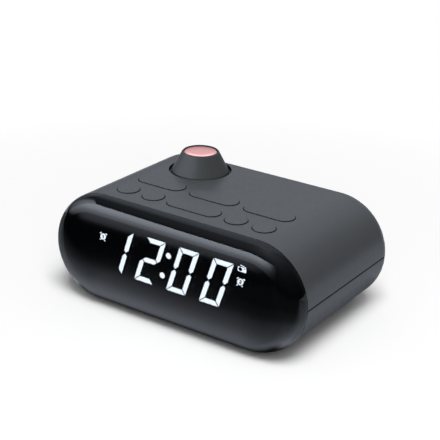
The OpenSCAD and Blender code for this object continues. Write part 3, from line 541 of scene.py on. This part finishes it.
def oval(x, z, half_w, half_h, lean=0, count=28):
    """Outline of an ellipse that leans to the left by so many degrees."""
    turn = math.radians(lean)
    points = []
    for i in range(count):
        a = 2 * math.pi * i / count
        u, v = half_w * math.cos(a), half_h * math.sin(a)
        points.append((
            x + u * math.cos(turn) - v * math.sin(turn),
            z + u * math.sin(turn) + v * math.cos(turn),
        ))
    return points


def rounded(x_low, z_low, x_high, z_high, radius, count=6):
    """Outline of a rectangle with round corners."""
    points = []
    for corner in range(4):
        x = (x_high - radius, x_low + radius, x_low + radius, x_high - radius)[corner]
        z = (z_high - radius, z_high - radius, z_low + radius, z_low + radius)[corner]
        for i in range(count + 1):
            a = math.pi / 2 * (corner + i / count)
            points.append((x + radius * math.cos(a), z + radius * math.sin(a)))
    return points


def placed(outline, x, z, size):
    """A unit outline at a place and in a size."""
    return [(x + size * u, z + size * v) for u, v in outline]


def alarm_sign(x, z, number):
    """Small leaning clock with two bells, two feet and its number in the dial."""
    r = ALARM_R
    upright = [
        oval(x, z, r, r),
        placed(number, x, z, NUMBER_H),
    ]
    for way in (-1, 1):
        upright.append(oval(x + way * r, z + 0.95 * r, 0.36 * r, 0.19 * r, way * -42))
    for way in (-1, 1):
        upright.append(oval(x + way * 0.8 * r, z - 1.14 * r, 0.16 * r, 0.24 * r, way * 35))
    return [[(u + SIGN_LEAN * (v - z), v) for u, v in outline] for outline in upright]


def radio_sign():
    """Small receiver with a round speaker, a dial window and a slanted aerial."""
    return [
        rounded(44.0, 46.25, 49.1, 48.85, 0.5),
        oval(45.5, 47.6, 1.15, 1.1),
        rounded(47.6, 47.95, 48.7, 48.4, 0.15),
        [(45.5, 49.75), (48.7, 48.9), (48.95, 49.2), (45.7, 50.15)],
    ]


def make_sign(name, outlines):
    """A flat lit sign on the front of the light box; an outline inside another is a hole."""
    data = bpy.data.curves.new(name, "CURVE")
    data.dimensions = "2D"
    data.fill_mode = "BOTH"
    data.extrude = SIGN_T / 2 * MM
    for outline in outlines:
        spline = data.splines.new("POLY")
        spline.points.add(len(outline) - 1)
        for point, (x, z) in zip(spline.points, outline):
            point.co = (x * MM, (z + FOOT_TO_FRAME) * MM, 0, 1)
        spline.use_cyclic_u = True
    drawn = bpy.data.objects.new(name, data)
    mesh = bpy.data.meshes.new_from_object(drawn)
    bpy.data.objects.remove(drawn)
    to_display = Matrix.Translation((0, DISPLAY_Y - SIGN_T / 2 * MM, 0))
    mesh.transform(to_display @ Matrix.Rotation(math.pi / 2, 4, "X"))
    sign = link(name, mesh)
    dress(sign, "lit_diffuser")
    sign.visible_glossy = False
    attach(sign, "clock")


def make_signs():
    make_sign("alarm_1_sign", alarm_sign(*ALARM_1_AT, ONE))
    make_sign("alarm_2_sign", alarm_sign(*ALARM_2_AT, TWO))
    make_sign("radio_sign", radio_sign())


# ---------- studio ----------

SEEN_RAYS = ("Is Camera Ray", "Is Glossy Ray", "Is Transmission Ray")
FLOOR_HALF = 3.0
FLOOR_BOUNCE = 0.2  # of the light that falls on the floor
PLAIN_FROM_TO = (0.1, 0.35)  # m from the middle, where the floor runs into plain white
WORLD_LEVEL = 0.22  # of the world's own light on the object
REFLECTED_TINT = (0.9, 0.98, 1.12, 1)  # of the cool light that the tent and card give
LIGHT_SIDE = 1.2  # of each square light
LIGHTS_AIM = (0, 0, 0.03)

TENT_R = 1.4
# light of the tent's window against the angle above the horizon, in degrees
WINDOW_RISE = [
    (0, 0), (3, 0.05), (6, 0.6), (9, 1.05), (13, 1.55), (18, 2.15), (23, 2.85), (33, 4.5),
    (47, 5.5), (48, 0), (90, 0),
]
# its share against the turn from the front, in degrees, negative to the left
WINDOW_TURN = [
    (-180, 0), (-128, 0), (-118, 0.1), (-109, 0.39), (-96, 0.55), (-88, 1), (-38, 1),
    (-24, 0.78), (-13.5, 0.42), (-4, 0.1), (5, 0), (180, 0),
]
WINDOW_SLANT = 0.63  # its sides lean to the right by this for each degree of rise
# its upper edge climbs to the right between these turns
EDGE_FROM, EDGE_TO, EDGE_CLIMB = -50, -20, 4.5
# light of the rest of the tent against the angle above the horizon
SKY_RISE = [(0, 0), (20, 0.03), (38, 0.07), (50, 0.15), (60, 0.26), (72, 0.42), (90, 0.8)]
# light of the backdrop behind the object against the same angle, and its share against the
# turn from the front, negative to the left; it is dim behind the right end
BACKDROP_RISE = [
    (0, 0.15), (12, 0.28), (24, 0.58), (48, 0.48), (62, 0.5), (75, 0.4), (90, 0),
]
BACKDROP_TURN = [
    (-180, 1), (-125, 1), (-105, 0), (110, 0), (122, 0.15), (148, 0.15), (166, 0.8), (180, 1),
]

CARD_Z = 0.5 * MM
CARD_HALF = (0.066, 0.043)  # of the place under the object, where the card is darkest, as painted shade of the floor
# light of the card against the distance from there, in mm
CARD_LEVEL = [
    (0, 0.03), (2, 0.1), (5, 0.6), (8, 1.14), (10, 1.2), (13, 1.04), (18, 0.78), (25, 0.55),
    (35, 0.38), (48, 0.17), (60, 0.1), (100, 0.04), (400, 0.03),
]
# its share against the place along X, in mm
CARD_ACROSS = [
    (-200, 0.1), (-140, 0.25), (-100, 0.5), (-86, 0.6), (-75, 0.75), (-60, 1.1), (60, 1),
    (72, 1.2), (85, 1.5), (200, 1.5),
]
# and along Y, where its back edge leans forward to the right of CARD_BEND
CARD_ALONG = [(-200, 1), (-44, 1), (-38, 0.4), (-20, 0.04), (200, 0.02)]
CARD_BEND, CARD_LEAN = 66, 0.3
# the open floor beside the two ends: light against the place along X, and its share along Y
RIGHT_ACROSS = [
    (-400, 0), (64, 0), (70, 0.1), (76, 0.18), (84, 0.27), (91, 0.55), (98, 0.62),
    (150, 0.6), (300, 0.38), (600, 0.2), (1400, 0.05),
]
RIGHT_ALONG = [(-200, 0), (-60, 0), (-30, 1), (200, 1)]
LEFT_ACROSS = [
    (-400, 0.3), (-170, 0.42), (-100, 0.45), (-86, 0.4), (-76, 0.2), (-68, 0), (400, 0),
]
LEFT_ALONG = [
    (-400, 0), (-105, 0), (-76, 0.18), (-62, 0.45), (-54, 0.85), (-48, 1), (-38, 0.35),
    (200, 0.35),
]
# the open floor behind the back: light against the place along Y
BEHIND_ALONG = [(-200, 0), (60, 0), (75, 0.6), (300, 0.6), (600, 0.3), (1400, 0.05)]


def link(name, data):
    """A new object of the scene."""
    piece = bpy.data.objects.new(name, data)
    bpy.context.scene.collection.objects.link(piece)
    return piece


def square_plane(name, half, height):
    """A level square of the studio, round the middle."""
    mesh = bpy.data.meshes.new(name)
    ways = [(-1, -1), (1, -1), (1, 1), (-1, 1)]
    corners = [(half * x, half * y, height) for x, y in ways]
    mesh.from_pydata(corners, [], [(0, 1, 2, 3)])
    piece = link(name, mesh)
    return piece


def seen_mask(tree):
    """1 for rays that show a surface to the eye or in a reflection, and 0 for others."""
    rays = add(tree, "ShaderNodeLightPath")
    total = rays.outputs[SEEN_RAYS[0]]
    for kind in SEEN_RAYS[1:]:
        total = calc(tree, "MAXIMUM", total, rays.outputs[kind])
    return total


def make_floor():
    """A pale matt floor: white to the eye and to reflections, and darker to the light
    that it throws back up on the object. Away from the object it runs into plain white."""
    floor = square_plane("floor", FLOOR_HALF, 0)
    material, tree, shader = new_material("floor")
    seen = seen_mask(tree)
    colour = blend_colours(tree, seen, grey(FLOOR_BOUNCE), grey(1.0))
    tree.links.new(colour, shader.inputs["Base Color"])
    shader.inputs["Roughness"].default_value = 0.9
    shader.inputs["Specular IOR Level"].default_value = 0.0
    x, y, _ = axes_of(tree, object_coordinates(tree))
    far = ramp(tree, length(tree, x, y), 0, 1, *PLAIN_FROM_TO)
    plain_white = add(tree, "ShaderNodeEmission", strength=1.0)
    mix = tree.nodes.new("ShaderNodeMixShader")
    tree.links.new(calc(tree, "MULTIPLY", far, seen), mix.inputs[0])
    tree.links.new(shader.outputs[0], mix.inputs[1])
    tree.links.new(plain_white.outputs[0], mix.inputs[2])
    output = next(node for node in tree.nodes if node.type == "OUTPUT_MATERIAL")
    tree.links.new(mix.outputs[0], output.inputs["Surface"])
    floor.data.materials.append(material)


def make_world():
    """White to the eye and to reflections, and a dim even light on the object."""
    world = bpy.data.worlds.new("studio")
    bpy.context.scene.world = world
    world.use_nodes = True
    tree = world.node_tree
    tree.nodes.clear()
    seen = seen_mask(tree)
    background = add(tree, "ShaderNodeBackground")
    background.inputs["Color"].default_value = (1, 1, 1, 1)
    tree.links.new(ramp(tree, seen, WORLD_LEVEL, 1.0), background.inputs["Strength"])
    output = add(tree, "ShaderNodeOutputWorld")
    tree.links.new(background.outputs[0], output.inputs["Surface"])


def only_reflected(piece):
    """The piece shows in reflections alone: it casts no light and no shadow of its own."""
    piece.visible_camera = False
    piece.visible_diffuse = False
    piece.visible_transmission = False
    piece.visible_volume_scatter = False
    piece.visible_shadow = False


def along(tree, source, pairs):
    """Level that goes straight from one (place, level) pair to the next."""
    first, last = pairs[0][0], pairs[-1][0]
    top = max(level for _, level in pairs)
    node = add(tree, "ShaderNodeFloatCurve")
    curve = node.mapping.curves[0]
    points = [((place - first) / (last - first), level / top) for place, level in pairs]
    curve.points[0].location = points[0]
    curve.points[1].location = points[-1]
    for point in points[1:-1]:
        curve.points.new(*point)
    for point in curve.points:
        point.handle_type = "VECTOR"
    node.mapping.update()
    tree.links.new(ramp(tree, source, 0, 1, first, last), node.inputs["Value"])
    return calc(tree, "MULTIPLY", node.outputs[0], top)


def glowing(name, make_level):
    """An emission material; make_level(tree) gives the output that sets its strength."""
    material = bpy.data.materials.new(name)
    material.use_nodes = True
    tree = material.node_tree
    tree.nodes.clear()
    emission = add(tree, "ShaderNodeEmission")
    emission.inputs["Color"].default_value = REFLECTED_TINT
    tree.links.new(make_level(tree), emission.inputs["Strength"])
    output = add(tree, "ShaderNodeOutputMaterial")
    tree.links.new(emission.outputs[0], output.inputs["Surface"])
    return material


def tent_level(tree):
    """Window at the front and left with a crisp upper edge, and a dim sky."""
    direction = add(tree, "ShaderNodeVectorMath", operation="NORMALIZE")
    tree.links.new(object_coordinates(tree), direction.inputs[0])
    x, y, z = axes_of(tree, direction.outputs[0])
    rise = calc(tree, "DEGREES", calc(tree, "ARCSINE", z))
    turn = calc(tree, "DEGREES", calc(tree, "ARCTAN2", x, calc(tree, "MULTIPLY", y, -1)))
    climb = ramp(tree, turn, 0, EDGE_CLIMB, EDGE_FROM, EDGE_TO)
    level = along(tree, calc(tree, "SUBTRACT", rise, climb), WINDOW_RISE)
    upright = calc(tree, "SUBTRACT", turn, calc(tree, "MULTIPLY", rise, WINDOW_SLANT))
    window = calc(tree, "MULTIPLY", level, along(tree, upright, WINDOW_TURN))
    backdrop = calc(
        tree, "MULTIPLY", along(tree, rise, BACKDROP_RISE), along(tree, turn, BACKDROP_TURN)
    )
    sky = calc(tree, "ADD", along(tree, rise, SKY_RISE), backdrop)
    return calc(tree, "ADD", window, sky)


def make_tent():
    """Light tent over the object, seen in reflections alone."""
    build = bmesh.new()
    bmesh.ops.create_uvsphere(build, u_segments=72, v_segments=48, radius=TENT_R)
    below = [vertex for vertex in build.verts if vertex.co.z < -0.001]
    bmesh.ops.delete(build, geom=below, context="VERTS")
    mesh = bpy.data.meshes.new("light_tent")
    build.to_mesh(mesh)
    build.free()
    mesh.materials.append(glowing("light_tent", tent_level))
    tent = link("light_tent", mesh)
    only_reflected(tent)


def card_level(tree):
    """Painted reflection of the floor: a painted pool of light in front of the lens, fading
    away from the object, and then the open floor.
    """
    x, y, _ = axes_of(tree, object_coordinates(tree))
    past = []
    for place, half in zip((x, y), CARD_HALF):
        beyond = calc(tree, "SUBTRACT", calc(tree, "ABSOLUTE", place), half)
        past.append(calc(tree, "MAXIMUM", beyond, 0))
    away = length(tree, *past)
    x_mm, y_mm = calc(tree, "DIVIDE", x, MM), calc(tree, "DIVIDE", y, MM)
    bend = calc(tree, "MAXIMUM", calc(tree, "SUBTRACT", x_mm, CARD_BEND), 0)
    leaned_y = calc(tree, "SUBTRACT", y_mm, calc(tree, "MULTIPLY", bend, CARD_LEAN))
    level = along(tree, calc(tree, "DIVIDE", away, MM), CARD_LEVEL)
    level = calc(tree, "MULTIPLY", level, along(tree, x_mm, CARD_ACROSS))
    level = calc(tree, "MULTIPLY", level, along(tree, leaned_y, CARD_ALONG))
    open_floor = along(tree, y_mm, BEHIND_ALONG)
    for across, deep in ((RIGHT_ACROSS, RIGHT_ALONG), (LEFT_ACROSS, LEFT_ALONG)):
        beside = calc(tree, "MULTIPLY", along(tree, x_mm, across), along(tree, y_mm, deep))
        open_floor = calc(tree, "MAXIMUM", open_floor, beside)
    return calc(tree, "ADD", level, open_floor)


def make_card():
    """Card that stands for the floor in reflections: a painted reflection, with painted shade
    under the object.
    """
    card = square_plane("floor_card", TENT_R, CARD_Z)
    card.data.materials.append(glowing("floor_card", card_level))
    only_reflected(card)


def area_light(name, place, power):
    """A square soft light, aimed at the object and not seen in reflections."""
    data = bpy.data.lights.new(name, "AREA")
    data.size = LIGHT_SIDE
    data.energy = power
    light = link(name, data)
    light.location = place
    aim = Vector(LIGHTS_AIM) - Vector(place)
    light.rotation_euler = aim.to_track_quat("-Z", "Y").to_euler()
    light.visible_glossy = False


def make_lights():
    area_light("top_box", place=(0.7, -0.8, 2.3), power=52)
    area_light("fill_box", place=(1.2, -1.5, 1.5), power=9)


def make_studio():
    make_floor()
    make_world()
    make_tent()
    make_card()
    make_lights()
    bpy.context.scene.view_settings.view_transform = "Standard"


# ---------- the whole ----------


make_camera()
dress_nodes()
make_signs()
make_studio()
